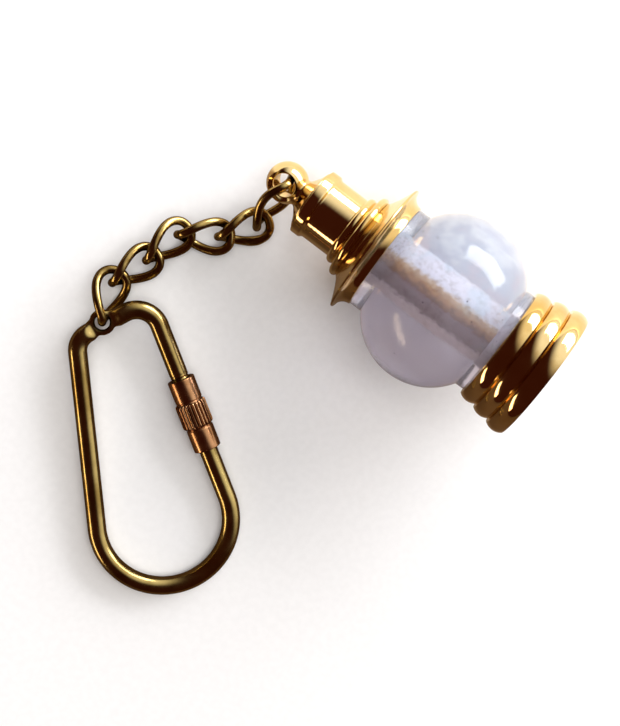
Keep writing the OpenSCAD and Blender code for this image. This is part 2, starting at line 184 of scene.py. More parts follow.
def roundCorners(profile, steps=4):
    # each corner is (z, r) or (z, r, fillet); a fillet is the length cut from both sides
    rounded = []
    for i, corner in enumerate(profile):
        here = Vector(corner[:2])
        cut = corner[2] if len(corner) > 2 else 0
        if cut == 0 or i in (0, len(profile) - 1):
            rounded.append(here)
            continue
        before = Vector(profile[i - 1][:2]) - here
        after = Vector(profile[i + 1][:2]) - here
        a = here + before.normalized() * min(cut, before.length * 0.49)
        b = here + after.normalized() * min(cut, after.length * 0.49)
        for k in range(steps + 1):
            t = k / steps
            rounded.append(a * (1 - t) ** 2 + here * 2 * t * (1 - t) + b * t ** 2)
    return [(p.x, p.y) for p in rounded]


def arcOf(z, r, radius, fromDegrees, toDegrees, count):
    # angles turn from +r towards +z
    points = []
    for k in range(count + 1):
        angle = math.radians(fromDegrees + (toDegrees - fromDegrees) * k / count)
        points.append((z + radius * math.sin(angle), r + radius * math.cos(angle)))
    return points


def joinRows(rows, segments, closed):
    # quads between neighbouring rows of points, and a fan where a row is one point on the axis
    faces = []
    pairs = list(zip(rows, rows[1:])) + ([(rows[-1], rows[0])] if closed else [])
    for low, high in pairs:
        if len(low) + len(high) == 2:
            continue
        for k in range(segments):
            j = (k + 1) % segments
            if len(low) == 1:
                faces.append((low[0], high[j], high[k]))
            elif len(high) == 1:
                faces.append((low[k], low[j], high[0]))
            else:
                faces.append((low[k], low[j], high[j], high[k]))
    return faces


def turned(name, profile, place, material, segments=144, closed=False, sharpAngle=34):
    # a profile of (z, r) points turned about the local Z axis; a closed profile makes a ring
    points = []
    rows = []
    for z, r in profile:
        if r < 1e-6:
            rows.append([len(points)])
            points.append(place @ Vector((0, 0, z)))
            continue
        rows.append(list(range(len(points), len(points) + segments)))
        for k in range(segments):
            angle = 2 * math.pi * k / segments
            points.append(place @ Vector((r * math.cos(angle), r * math.sin(angle), z)))
    piece = meshPiece(name, points, joinRows(rows, segments, closed), material, sharpAngle)
    faceOutwards(piece)
    return piece


def drilled(piece, drill, sharpAngle=40):
    cut = piece.modifiers.new("cut", "BOOLEAN")
    cut.operation = "DIFFERENCE"
    cut.solver = "EXACT"
    cut.object = drill
    plainMesh(piece, sharpAngle)
    bpy.data.objects.remove(drill)
    return piece


def handOver(piece, body, slot, *nodes):
    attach(piece, body)
    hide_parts(*nodes)


def giveFinish(nodeName, material):
    slots = frame["nodes"][nodeName].data.materials
    slots.clear()
    slots.append(material)


# The lantern's own axes: local Z runs from the finial to the base, with zero at the globe's centre
axis = Vector(joints["base_advance"]["axis"]).normalized()
baseFace = Vector(mounts["base_face"]["pos_m"]) / mm
globeLow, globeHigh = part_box("globe")
globeHeight = (globeLow.z + globeHigh.z) / 2 / mm
globeCentre = baseFace - axis * ((baseFace.z - globeHeight) / axis.z)
upSide = Vector((axis.z, 0, -axis.x))
onLantern = Matrix((
    (upSide.x, 0, axis.x, globeCentre.x),
    (0, 1, 0, globeCentre.y),
    (upSide.z, 0, axis.z, globeCentre.z),
    (0, 0, 0, 1)))
lanternLie = math.asin(axis.z)


def alongAxis(tree):
    # millimetres, with X along the lantern's axis from the globe's centre
    coords = addNode(tree, "ShaderNodeTexCoord")
    return addNode(tree, "ShaderNodeMapping",
                   {"vector_type": "TEXTURE", "Location": globeCentre * mm,
                    "Rotation": (0, -lanternLie, 0), "Scale": (mm, mm, mm)},
                   {"Vector": coords.outputs["Object"]}).outputs["Vector"]


def inMillimetres(tree):
    coords = addNode(tree, "ShaderNodeTexCoord")
    return addNode(tree, "ShaderNodeMapping", {"Scale": (1 / mm, 1 / mm, 1 / mm)},
                   {"Vector": coords.outputs["Object"]}).outputs["Vector"]


# Brass finishes. Patches and grain are in mm, and colours run from rubbed to tarnished.
# Darkened corners, given by their width in mm and a colour, are painted shade in corners and between parts; on the
# antiqued wire they also stand for the patina in its hollows.
brassLooks = {
    # Polished brass, turned on a lathe and buffed: mirror-like, warm yellow, faint rings.
    # Real turning marks are 0.1 mm apart; these rings are 0.75 mm apart so that they show
    "polished brass": {
        "light": "#F0D295", "dark": "#DFB76D", "roughness": 0.09, "spread": 0.03,
        "patch": 8.333, "ringGap": 0.748, "depth": 0.0010},
    # Antiqued brass wire: a dark olive patina that handling has rubbed bright on the outside
    "antiqued brass": {
        "light": "#BFA668", "dark": "#9A7F45", "roughness": 0.20, "spread": 0.035,
        "patch": 6.25, "grain": 0.25, "depth": 0.0015, "shadeAndPatina": (1.1, "#3A2410")},
    # The same patina on the chain's thinner wire, a little darker and rougher
    "antiqued brass chain wire": {
        "light": "#BDA263", "dark": "#856733", "roughness": 0.20, "spread": 0.04,
        "patch": 2.857, "grain": 0.25, "depth": 0.0025, "shadeAndPatina": (1.3, "#26150A")},
    # Copper-rich brass of the screw sleeve, turned and left satin: pinkish and softer in its shine
    "copper-rich brass": {
        "light": "#CF9C70", "dark": "#B07C50", "roughness": 0.24, "spread": 0.03,
        # the sleeve's darkened corners are painted shade in the knurl's grooves and the turned necks
        "patch": 5.0, "grain": 0.25, "depth": 0.0012, "shadeAndPatina": (0.35, "#2A1208")},
}


def coat(tree, shader, colour, roughness, height, depth):
    # the shader's colour, its roughness where that varies, and fine relief of a depth in mm
    bump = addNode(tree, "ShaderNodeBump", {"Strength": 1.0, "Distance": depth * mm}, {"Height": height})
    tree.links.new(colour, shader.inputs["Base Color"])
    tree.links.new(bump.outputs["Normal"], shader.inputs["Normal"])
    if roughness:
        tree.links.new(roughness, shader.inputs["Roughness"])


def brass(name):
    look = brassLooks[name]
    turnedOnLathe = "ringGap" in look
    material, tree, shader = newMaterial(name, {"Metallic": 1.0})
    place = alongAxis(tree) if turnedOnLathe else inMillimetres(tree)
    tarnish = addNode(tree, "ShaderNodeTexNoise", {"Scale": 1 / look["patch"], "Detail": 5, "Roughness": 0.6},
                      {"Vector": place})
    colour = addNode(tree, "ShaderNodeValToRGB", {"stops": [(0.32, look["dark"]), (0.62, look["light"])]},
                     {"Fac": tarnish.outputs["Fac"]}).outputs["Color"]
    # painted shade: an occlusion node darkens corners and the gaps between parts, which on the antiqued wire also
    # stands for its patina in the hollows
    if "shadeAndPatina" in look:
        width, shadeAndPatinaColour = look["shadeAndPatina"]
        corners = addNode(tree, "ShaderNodeAmbientOcclusion", {"samples": 8, "Distance": width * mm})
        shadeAndPatinaMask = addNode(tree, "ShaderNodeValToRGB", {"stops": [(0.25, 0.0), (0.85, 1.0)]},
                         {"Fac": corners.outputs["AO"]})
        colour = addNode(tree, "ShaderNodeMix", {"data_type": "RGBA", 6: linear(shadeAndPatinaColour)},
                         {"Factor": shadeAndPatinaMask.outputs["Color"], 7: colour}).outputs[2]
    wiping = addNode(tree, "ShaderNodeTexNoise", {"Scale": 3.1 / look["patch"], "Detail": 3},
                     {"Vector": place})
    rough = addNode(tree, "ShaderNodeMapRange",
                    {"From Min": 0.3, "From Max": 0.7, "To Min": look["roughness"] - look["spread"],
                     "To Max": look["roughness"] + look["spread"]}, {"Value": wiping.outputs["Fac"]})
    if turnedOnLathe:
        marks = addNode(tree, "ShaderNodeTexWave",
                        {"wave_type": "BANDS", "bands_direction": "X", "Distortion": 1.5, "Detail": 2,
                         "Scale": math.pi / 10 / look["ringGap"]}, {"Vector": place})
    else:
        marks = addNode(tree, "ShaderNodeTexNoise",
                        {"Scale": 1 / look["grain"], "Detail": 6, "Roughness": 0.65}, {"Vector": place})
    coat(tree, shader, colour, rough.outputs["Result"], marks.outputs["Fac"], look["depth"])
    return material


# Moulded acrylic, lightly frosted, with random cloud and a few specks in it. Its colour runs from lavender grey to
# bluish white towards +Y, the lit side, as painted light. Sizes in mm, with the painted light's rate of change
# along Y per mm
acrylicLook = {
    "cloud": 5.0, "across": 0.028, "speckGap": 2.381, "speckColour": "#4A4048", "grain": 0.9091,
    "grainDepth": 0.03, "clear": (0.90, 0.72), "roughness": (0.07, 0.19), "ior": 1.49,
    "colours": [(0.2, "#DAD0D8"), (0.5, "#DDD6E2"), (0.64, "#D0D8E8"), (0.76, "#F2F7FF"), (0.92, "#D5DEEE")],
}


def frostedAcrylic():
    look = acrylicLook
    material, tree, shader = newMaterial("frosted acrylic", {"IOR": look["ior"]})
    place = alongAxis(tree)
    split = addNode(tree, "ShaderNodeSeparateXYZ", links={"Vector": place})
    cloud = addNode(tree, "ShaderNodeTexNoise", {"Scale": 1 / look["cloud"], "Detail": 6, "Roughness": 0.62},
                    {"Vector": place})
    # painted light: Y, with the cloud over it, sets the colour and clearness, bluish white and less clear towards
    # the lit +Y side
    height = addNode(tree, "ShaderNodeMath", {"operation": "MULTIPLY_ADD", 1: look["across"]},
                     {0: split.outputs["Y"], 2: cloud.outputs["Fac"]})
    colour = addNode(tree, "ShaderNodeValToRGB", {"stops": look["colours"]}, {"Fac": height.outputs[0]})
    specks = addNode(tree, "ShaderNodeTexVoronoi", {"Scale": 1 / look["speckGap"], "Randomness": 1.0},
                     {"Vector": place})
    speck = addNode(tree, "ShaderNodeValToRGB", {"stops": [(0.05, look["speckColour"]), (0.075, "#FFFFFF")]},
                    {"Fac": specks.outputs["Distance"]})
    mix = addNode(tree, "ShaderNodeMix", {"data_type": "RGBA", "blend_type": "MULTIPLY", "Factor": 1.0},
                  {6: colour.outputs["Color"], 7: speck.outputs["Color"]})
    clear = addNode(tree, "ShaderNodeMapRange",
                    {"From Min": 0.25, "From Max": 0.95, "To Min": look["clear"][0],
                     "To Max": look["clear"][1]}, {"Value": height.outputs[0]})
    rough = addNode(tree, "ShaderNodeMapRange",
                    {"From Min": 0.3, "From Max": 0.7, "To Min": look["roughness"][0],
                     "To Max": look["roughness"][1]}, {"Value": cloud.outputs["Fac"]})
    grain = addNode(tree, "ShaderNodeTexNoise", {"Scale": 1 / look["grain"], "Detail": 5}, {"Vector": place})
    coat(tree, shader, mix.outputs[2], rough.outputs["Result"], grain.outputs["Fac"], look["grainDepth"])
    tree.links.new(clear.outputs["Result"], shader.inputs["Transmission Weight"])
    return material


# The bore's wall, left rough by the drill: frost, drilling marks and grain, with a painted stripe along Y of grey
# painted shade, a gold-brown painted reflection of the brass and bluish white painted light towards +Y. The
# drilling stops short of the base, and its wall is clear beyond
boreLook = {
    "grain": 0.5882, "grainDepth": 0.04, "raggedness": 2.2, "paintedLightFrom": -2.1, "paintedLightTo": 4.3,
    "drilledTo": (7.9, 8.3), "clearWall": "#D5CED8", "speckle": "#8A7464", "speckleShare": 0.45,
    "paintedLightBand": [(0.0, "#EDE6EC"), (0.08, "#E2DAE0"), (0.11, "#8E8087"), (0.30, "#94838A"), (0.35, "#7A5236"),
             (0.50, "#BC8C50"), (0.59, "#DFC69E"), (0.66, "#F4F9FF"), (1.0, "#F6FAFF")],
}


def drilledAcrylic():
    look = boreLook
    material, tree, shader = newMaterial("drilled acrylic bore",
                                         {"Roughness": 0.45, "IOR": acrylicLook["ior"]})
    place = alongAxis(tree)
    split = addNode(tree, "ShaderNodeSeparateXYZ", links={"Vector": place})
    grain = addNode(tree, "ShaderNodeTexNoise", {"Scale": 1 / look["grain"], "Detail": 8, "Roughness": 0.8},
                    {"Vector": place})
    ragged = addNode(tree, "ShaderNodeMath", {"operation": "MULTIPLY_ADD", 1: look["raggedness"]},
                     {0: grain.outputs["Fac"], 2: split.outputs["Y"]})
    # painted stripe: Y, made ragged by the grain, picks grey painted shade, a gold-brown painted reflection of the
    # brass and bluish white painted light towards +Y
    side = addNode(tree, "ShaderNodeMapRange", {"From Min": look["paintedLightFrom"], "From Max": look["paintedLightTo"]},
                   {"Value": ragged.outputs[0]})
    paintedLightBand = addNode(tree, "ShaderNodeValToRGB", {"stops": look["paintedLightBand"]}, {"Fac": side.outputs["Result"]})
    paintedLightBand.color_ramp.interpolation = "LINEAR"
    reach = addNode(tree, "ShaderNodeMapRange",
                    {"From Min": look["drilledTo"][0], "From Max": look["drilledTo"][1]},
                    {"Value": split.outputs["X"]})
    mix = addNode(tree, "ShaderNodeMix", {"data_type": "RGBA", 7: linear(look["clearWall"])},
                  {"Factor": reach.outputs["Result"], 6: paintedLightBand.outputs["Color"]})
    speckle = addNode(tree, "ShaderNodeValToRGB", {"stops": [(0.36, look["speckle"]), (0.52, "#FFFFFF")]},
                      {"Fac": grain.outputs["Fac"]})
    grains = addNode(tree, "ShaderNodeMix",
                     {"data_type": "RGBA", "blend_type": "MULTIPLY", "Factor": look["speckleShare"]},
                     {6: mix.outputs[2], 7: speckle.outputs["Color"]})
    coat(tree, shader, grains.outputs[2], None, grain.outputs["Fac"], look["grainDepth"])
    return material


# Finishes of the hidden light, each as (light, dark, mottle in mm, bump in mm, shader constants)
hiddenLooks = {
    # O-ring rubber, moulded and dusty: matt and near black
    "nitrile rubber": ("#1C1B1B", "#121111", 1 / 3, 0.004, {"Roughness": 0.6, "IOR": 1.5}),
    # white nylon, moulded: off-white with a soft shine
    "white nylon": ("#E9E7E1", "#DAD7D0", 1 / 1.5, 0.004, {"Roughness": 0.45, "IOR": 1.53}),
    # water-clear epoxy of an LED: glossy and clear
    "clear epoxy": ("#F5F5FA", "#E9EAF2", 1.25, 0.002,
                    {"Roughness": 0.12, "IOR": 1.54, "Transmission Weight": 0.6}),
    # tinned copper wire: soft grey shine
    "tinned wire": ("#CFCFD2", "#AAAAAE", 0.25, 0.002, {"Roughness": 0.3, "Metallic": 1.0}),
    # glass fibre board under green lacquer
    "green lacquered glass fibre": ("#2B6B45", "#1E5235", 1 / 3, 0.004, {"Roughness": 0.35, "IOR": 1.5}),
    # black nylon, moulded: dull black
    "black nylon": ("#1D1D1E", "#141415", 1 / 1.5, 0.006, {"Roughness": 0.5, "IOR": 1.53}),
    # plated steel can of a button cell: bright and slightly brushed
    "plated cell steel": ("#D5D5D3", "#BDBDBA", 0.5, 0.002, {"Roughness": 0.25, "Metallic": 1.0}),
    # spring steel, bright drawn
    "spring steel": ("#B5B5B6", "#8E8E90", 1 / 3, 0.002, {"Roughness": 0.22, "Metallic": 1.0}),
}
hiddenParts = {
    "seal_ring": "nitrile rubber", "led_holder": "white nylon", "led": "clear epoxy",
    "led_lead_long": "tinned wire", "led_lead_short": "tinned wire",
    "contact_board": "green lacquered glass fibre", "cell_tray": "black nylon",
    "upper_cell": "plated cell steel", "lower_cell": "plated cell steel", "contact_spring": "spring steel",
}


def mottled(name):
    light, dark, mottleSize, depth, constants = hiddenLooks[name]
    material, tree, shader = newMaterial(name, constants)
    mottle = addNode(tree, "ShaderNodeTexNoise", {"Scale": 1 / mottleSize, "Detail": 5},
                     {"Vector": inMillimetres(tree)})
    colour = addNode(tree, "ShaderNodeValToRGB", {"stops": [(0.35, dark), (0.65, light)]},
                     {"Fac": mottle.outputs["Fac"]})
    coat(tree, shader, colour.outputs["Color"], None, mottle.outputs["Fac"], depth)
    return material


polishedBrass, antiqueBrass, chainBrass, copperBrass = [brass(name) for name in brassLooks]
acrylic = frostedAcrylic()
boreWall = drilledAcrylic()
hiddenFinishes = {name: mottled(name) for name in hiddenLooks}
for nodeName, finishName in hiddenParts.items():
    giveFinish(nodeName, hiddenFinishes[finishName])
print("materials made")


# All lantern sizes are in mm, and places run along its axis from the globe's centre
globe = {
    "radius": 13.65, "bulgeRadius": 10.6, "neckRadius": 8.7, "neckAt": 9.05, "boreRadius": 3.2,
    "capSeat": 10.9, "baseSeat": 10.3, "topSpigot": (7.8, 3.4), "baseSpigot": (7.6, 1.7),
}
finial = {
    "ballAt": -29.5, "ballRadius": 3.25, "holeRadius": 1.8, "holeTurn": 30, "mouthRound": 0.6,
    "waistRadius": 2.3, "flangeAt": -24.85, "shankRadius": 1.5,
    # from the waist over the shoulder to the shank's end: (place from the flange, radius, fillet)
    "stem": [(-2.1, 2.18, 0.3), (-1.72, 2.4, 0.25), (-0.85, 3.62, 0.4), (-0.25, 4.95, 0.14),
             (0, 4.95, 0.08), (0, 1.5, 0.1), (4.9, 1.5, 0.2), (5, 0, 0)],
}


def makeFinial():
    radius = finial["ballRadius"]
    waistAngle = math.degrees(math.asin(finial["waistRadius"] / radius))
    ball = arcOf(finial["ballAt"], 0, radius, -90, 90 - waistAngle, 44)
    ball[0] = (finial["ballAt"] - radius, 0)
    stem = [(finial["flangeAt"] + along, r, fillet) for along, r, fillet in finial["stem"]]
    profile = ball + roundCorners([ball[-1]] + stem)[1:]
    piece = turned("finial_ball", profile, onLantern, polishedBrass, 160)
    # the drill is wider towards its ends, so that the hole's two mouths come out rounded over
    hole = finial["holeRadius"]
    mouth = hole + finial["mouthRound"]
    flat = math.sqrt(radius ** 2 - mouth ** 2)
    end = radius + 1
    right = roundCorners([(0, hole), (flat - 0.55, hole, 0.3), (flat + 0.05, mouth, 0.3),
                          (end, hole + 2.4)], 6)
    left = [(-z, r) for z, r in reversed(right[1:])]
    place = onLantern @ Matrix.Translation((0, 0, finial["ballAt"])) \
        @ Matrix.Rotation(math.radians(finial["holeTurn"]), 4, "Z") @ Matrix.Rotation(math.pi / 2, 4, "Y")
    drill = turned("drill", [(-end, 0)] + left + right + [(end, 0)], place, polishedBrass, 72)
    return drilled(piece, drill)


cap = {
    "flangeRadius": 5.5, "chimneyAt": -22.95, "chimneyRadius": 5.1,
    "smallBeadAt": -18.05, "smallBeadRadius": 5.8, "smallBeadHalf": 0.75,
    "largeBeadAt": -16.55, "largeBeadRadius": 7.0, "largeBeadHalf": 0.65,
    # the flare's curve: (place from its start, radius)
    "flareAt": -15.25, "flare": [(0, 6.62), (0.5, 7.25), (1.0, 8.15), (1.45, 9.1), (1.85, 10.05)],
    "brimAt": -13.05, "brimRadius": 10.8, "brimEdge": 0.25, "coveRadius": 1.9,
    "socketDepth": 3.55, "socketGap": 0.05, "shankGap": 0.06, "seatGap": 0.02,
}


def makeCap():
    flangeFace = finial["flangeAt"] + cap["seatGap"]
    shankHole = finial["shankRadius"] + cap["shankGap"]
    flange, chimney, brim = cap["flangeRadius"], cap["chimneyRadius"], cap["brimRadius"]
    smallHalf, largeHalf = cap["smallBeadHalf"], cap["largeBeadHalf"]
    profile = roundCorners([
        (flangeFace, shankHole), (flangeFace, flange - 0.02, 0.12), (finial["flangeAt"] + 0.3, flange, 0.14),
        (cap["chimneyAt"] - 0.42, flange, 0.16), (cap["chimneyAt"] + 0.02, chimney, 0.16),
        (cap["smallBeadAt"], chimney, 0.05)])
    profile += arcOf(cap["smallBeadAt"] + smallHalf, cap["smallBeadRadius"] - smallHalf, smallHalf - 0.01,
                     -78, 78, 14)
    profile += [(cap["largeBeadAt"] - 0.02, chimney + 0.12), (cap["largeBeadAt"] + 0.04, 5.9)]
    profile += arcOf(cap["largeBeadAt"] + largeHalf, cap["largeBeadRadius"] - largeHalf, largeHalf,
                     -72, 80, 14)
    profile += [(cap["flareAt"] + along, r) for along, r in cap["flare"]]
    profile += [(cap["brimAt"] - 0.06, brim - 0.06), (cap["brimAt"] + 0.08, brim),
                (cap["brimAt"] + cap["brimEdge"] - 0.06, brim - 0.03)]
    profile += arcOf(-globe["capSeat"], brim, cap["coveRadius"], 267, 185, 12)
    lip = -globe["capSeat"] - cap["seatGap"]
    socket = globe["topSpigot"][0] + cap["socketGap"]
    profile += roundCorners([
        (lip - 0.3, globe["neckRadius"] + 0.06), (lip, globe["neckRadius"] - 0.04, 0.1), (lip, socket, 0.08),
        (lip - cap["socketDepth"], socket, 0.1), (lip - cap["socketDepth"], shankHole, 0.1),
        (flangeFace, shankHole)])[:-1]
    return turned("lantern_cap", profile, onLantern, polishedBrass, 176, True)


def makeGlobe():
    neck = globe["neckRadius"]
    bulgeCentre = globe["radius"] - globe["bulgeRadius"]
    reach = math.degrees(math.acos((neck + 0.06 - bulgeCentre) / globe["bulgeRadius"]))
    topRadius, topLength = globe["topSpigot"]
    baseRadius, baseLength = globe["baseSpigot"]
    bore = globe["boreRadius"]
    capSeat = -globe["capSeat"]
    baseSeat = globe["baseSeat"]
    top = capSeat - topLength
    end = baseSeat + baseLength
    profile = roundCorners([(top, bore), (top, topRadius, 0.15), (capSeat, topRadius, 0.1),
                            (capSeat, neck, 0.12), (-globe["neckAt"], neck)])
    profile += arcOf(0, bulgeCentre, globe["bulgeRadius"], -reach, reach, 72)
    profile += roundCorners([(globe["neckAt"], neck), (baseSeat, neck, 0.12), (baseSeat, baseRadius, 0.1),
                             (end, baseRadius, 0.15), (end, bore)])
    profile += [(end - (end - top) * k / 24, bore) for k in range(1, 24)]
    piece = turned("acrylic_globe", profile, onLantern, acrylic, 176, True)
    piece.data.materials.append(boreWall)
    toLocal = onLantern.inverted()
    for polygon in piece.data.polygons:
        local = toLocal @ (polygon.center / mm)
        if math.hypot(local.x, local.y) < bore + 0.02:
            polygon.material_index = 1
    return piece


base = {
    "mouthAt": 10.4, "beadWidth": 2.82, "beadRadii": (9.8, 10.37, 10.94), "beadBulge": 2.238,
    "valleyDepth": 0.56, "threadBore": 8.6, "threadEnd": 15.9, "trayBore": 7.6, "floorAt": 17.86,
    # the foot, inwards from the last bead: (place from the base's end, radius, fillet)
    "endAt": 18.86, "foot": [(-0.02, 10.1, 0), (0, 9.9, 0.1), (0, 9.3, 0.1), (-0.12, 9.1, 0.1),
                             (-0.12, 3, 0.2), (-0.14, 0, 0)],
}


def makeBase():
    mouth = base["mouthAt"]
    bulge = base["beadBulge"]
    half = base["beadWidth"] / 2
    spread = math.degrees(math.asin((half - 0.05) / bulge))
    profile = roundCorners([(mouth, base["threadBore"]), (mouth, base["beadRadii"][0] - 1.1, 0.15)])
    for i, radius in enumerate(base["beadRadii"]):
        middle = mouth + (i + 0.5) * base["beadWidth"]
        profile += arcOf(middle, radius - bulge, bulge, -spread, spread, 16)
        if i < len(base["beadRadii"]) - 1:
            profile.append((middle + half, radius - base["valleyDepth"]))
    profile += roundCorners([(base["endAt"] + along, r, fillet) for along, r, fillet in base["foot"]])
    profile += roundCorners([
        (base["floorAt"], 0), (base["floorAt"], base["trayBore"], 0.15),
        (base["threadEnd"], base["trayBore"], 0.1), (base["threadEnd"], base["threadBore"], 0.1),
        (mouth, base["threadBore"])])[:-1]
    return turned("base_cup_beaded", profile, onLantern, polishedBrass, 176, True)


handOver(makeFinial(), "lantern", "polished_brass", "finial")
handOver(makeCap(), "lantern", "polished_brass", "cap")
handOver(makeGlobe(), "lantern", "frosted_acrylic", "globe")
handOver(makeBase(), "base", "polished_brass", "base_cup")
giveFinish("thread_collar", polishedBrass)
print("lantern made")


# Chain sizes in mm, headings in degrees from +X. A link's path starts at its near end, and "twist"
# turns its width out of the table's plane at the near end, the middle and the far end
chain = {
    "headings": (-86.4, -126, -145, -103, -109, -67), "wire": 1.4, "play": 0.6,
    "length": 9.6, "width": 6.8, "square": 0.86, "twist": (0, 45, 90),
    "firstLength": 11.0, "firstWidth": 9.6, "firstFarWidth": 7.3, "firstSquare": 0.7,
    "firstTwist": (90, 60, 96),
    "steps": 132, "sides": 20, "easing": 0.025,
    # the soldered joint: its place round the link, and its swelling, smooth and rough, as a share
    # of the wire; link 2's joint is the roughest. The solder's grains are 0.4 mm, so 2600 a metre
    "jointAt": 0.78, "jointLump": (0.03, 0.03), "roughestLink": 2, "roughestLump": (0.05, 0.22),
    "solderGrains": 2600.0,
}


def wireTree():
    # sweeps round wire along a link's closed path
    tree, sockets, given = newTree("wire along a path", {
        "Path": "Geometry", "Wire Radius": "Float", "Sides": "Int", "Joint Lump": "Float",
        "Joint Roughness": "Float", "Solder Grains": "Float", "Finish": "Material"}, "Wire")
    curve = addNode(tree, "GeometryNodeMeshToCurve", links={"Mesh": given.outputs["Path"]})
    # the path's "joint" attribute is 1 at the soldered joint, which swells the wire there
    joint = addNode(tree, "GeometryNodeInputNamedAttribute", {"data_type": "FLOAT", "Name": "joint"})
    spot = addNode(tree, "ShaderNodeTexNoise", {"Detail": 2.0}, {"Scale": given.outputs["Solder Grains"]})
    rough = addNode(tree, "ShaderNodeMath", {"operation": "MULTIPLY"},
                    {0: spot.outputs["Fac"], 1: given.outputs["Joint Roughness"]})
    lump = addNode(tree, "ShaderNodeMath", {"operation": "ADD"},
                   {0: given.outputs["Joint Lump"], 1: rough.outputs[0]})
    swell = addNode(tree, "ShaderNodeMath", {"operation": "MULTIPLY_ADD", 2: 1.0},
                    {0: joint.outputs["Attribute"], 1: lump.outputs[0]})
    thick = addNode(tree, "GeometryNodeSetCurveRadius",
                    links={"Curve": curve.outputs[0], "Radius": swell.outputs[0]})
    section = addNode(tree, "GeometryNodeCurvePrimitiveCircle",
                      links={"Resolution": given.outputs["Sides"], "Radius": given.outputs["Wire Radius"]})
    swept = sweepAlong(tree, thick.outputs[0], section.outputs["Curve"])
    smooth = addNode(tree, "GeometryNodeSetShadeSmooth", links={"Geometry": swept.outputs[0]})
    endTree(tree, smooth.outputs[0], given.outputs["Finish"])
    return tree, sockets


def squared(value, power):
    # a power below 1 squares up a circle's sine or cosine
    return math.copysign(abs(value) ** power, value)


def linkPath(halfLength, halfWidthFar, halfWidthNear, squareNear, twist, place):
    near, middle, far = twist
    points = []
    for k in range(chain["steps"]):
        t = 2 * math.pi * (k + 0.5) / chain["steps"]
        power = chain["square"]
        if math.cos(t) > 0:
            power += (squareNear - chain["square"]) * math.cos(t) ** 2
        x = squared(math.cos(t), power)
        halfWidth = halfWidthFar + (halfWidthNear - halfWidthFar) * ((x + 1) / 2) ** 1.3
        w = halfWidth * squared(math.sin(t), power)
        turn = math.radians(middle + (near - far) / 2 * x + ((near + far) / 2 - middle) * x * x)
        points.append(place @ Vector((halfLength * x, w * math.cos(turn), w * math.sin(turn))))
    return points


def chainPaths():
    # the first link slopes down from the ball's hole, and the rest lie at the clip's height
    pinHeight = joints["clip_swing"]["pos_m"][2] / mm
    wire = chain["wire"]
    radius = wire / 2
    angles = [math.radians(heading) for heading in chain["headings"]]
    ways = [Vector((math.cos(angle), math.sin(angle), 0)) for angle in angles]
    firstPin = Vector(joints["link_1_swing"]["pos_m"]) / mm
    firstReach = chain["firstLength"] - wire
    reach = chain["length"] - wire
    drop = math.asin((firstPin.z - pinHeight) / firstReach)
    endPin = firstPin + (ways[0] * math.cos(drop) - Vector((0, 0, math.sin(drop)))) * firstReach
    place = Matrix.Translation((firstPin + endPin) / 2) @ Matrix.Rotation(angles[0] + math.pi, 4, "Z") \
        @ Matrix.Rotation(-drop, 4, "Y")
    paths = [linkPath(firstReach / 2, chain["firstFarWidth"] / 2 - radius, chain["firstWidth"] / 2 - radius,
                      chain["firstSquare"], chain["firstTwist"], place)]
    half = chain["width"] / 2 - radius
    for angle, way in zip(angles[1:], ways[1:]):
        start = endPin - way * (wire + chain["play"])
        place = Matrix.Translation(start + way * reach / 2) @ Matrix.Rotation(angle + math.pi, 4, "Z")
        paths.append(linkPath(reach / 2, half, half, chain["square"], chain["twist"], place))
        endPin = endPin + way * (reach - wire - chain["play"])
    return paths


def makeLink(number, points, tree, sockets):
    count = len(points)
    path = bpy.data.meshes.new(f"link_{number}_path")
    path.from_pydata([tuple(p * mm) for p in points], [(k, (k + 1) % count) for k in range(count)], [])
    joint = path.attributes.new("joint", "FLOAT", "POINT")
    for k in range(count):
        away = abs(k - count * chain["jointAt"]) / count * 24     # about a millimetre each way
        joint.data[k].value = math.exp(-away * away)
    lump, roughness = chain["roughestLump" if number == chain["roughestLink"] else "jointLump"]
    piece = treePiece(f"twisted_link_{number}", path, tree, sockets, {
        "Wire Radius": (chain["wire"] / 2 - chain["easing"]) * mm, "Sides": chain["sides"],
        "Joint Lump": lump, "Joint Roughness": roughness, "Solder Grains": chain["solderGrains"],
        "Finish": chainBrass})
    faceOutwards(piece)
    return piece


wireNodes, wireSockets = wireTree()
for number, points in enumerate(chainPaths(), 1):
    link = makeLink(number, points, wireNodes, wireSockets)
    handOver(link, f"link_{number}", "antique_brass", f"chain_link_{number}")
print("chain made")


# The clip lies in its own plane: X from the wide bend's centre towards the eye, sizes in mm. The wire
# runs up the gate, round two small bends past the eye, and down the spine to the wide bend
clip = {
    "wire": 2.9, "wideBend": 10.5, "spineBend": 3.05, "spineBendAt": (28.8, 3.2), "gateBend": 3.7,
    "gateBendAt": (29.8, -3.15), "heading": 141.5, "sides": 44, "step": 0.34,
    # the flattened and drilled eye
    "eyeShare": 0.42, "eyeOut": 0.4, "eyeThickness": 1.75, "eyeRadius": 2.0, "eyeHole": 1.15, "eyeRise": 0.3,
    # the gate: where the sleeve starts, how far it grips, the gap that it covers, and the wire's thread
    "sleeveFoot": 8.4, "grip": 2.2, "gateGap": 3.5, "threadPitch": 0.5, "threadDepth": 0.17,
    "endChamfer": 0.82,
}
sleeve = {
    "length": 11.8, "radius": 2.15, "bore": 1.5, "edge": 0.16, "neckDepth": 0.15, "gap": 0.06,
    "knurlRadius": 2.45, "knurlLength": 3.9, "knurlSeat": 1.885, "grooves": 24, "grooveDepth": 0.27,
}


def tangentAngle(a, ra, b, rb):
    # the angle at which one straight side leaves bend a for bend b
    run = Vector(b) - Vector(a)
    return math.atan2(run.y, run.x) - math.acos((ra - rb) / run.length)


def onBend(centre, radius, angle):
    return Vector(centre) + radius * Vector((math.cos(angle), math.sin(angle)))


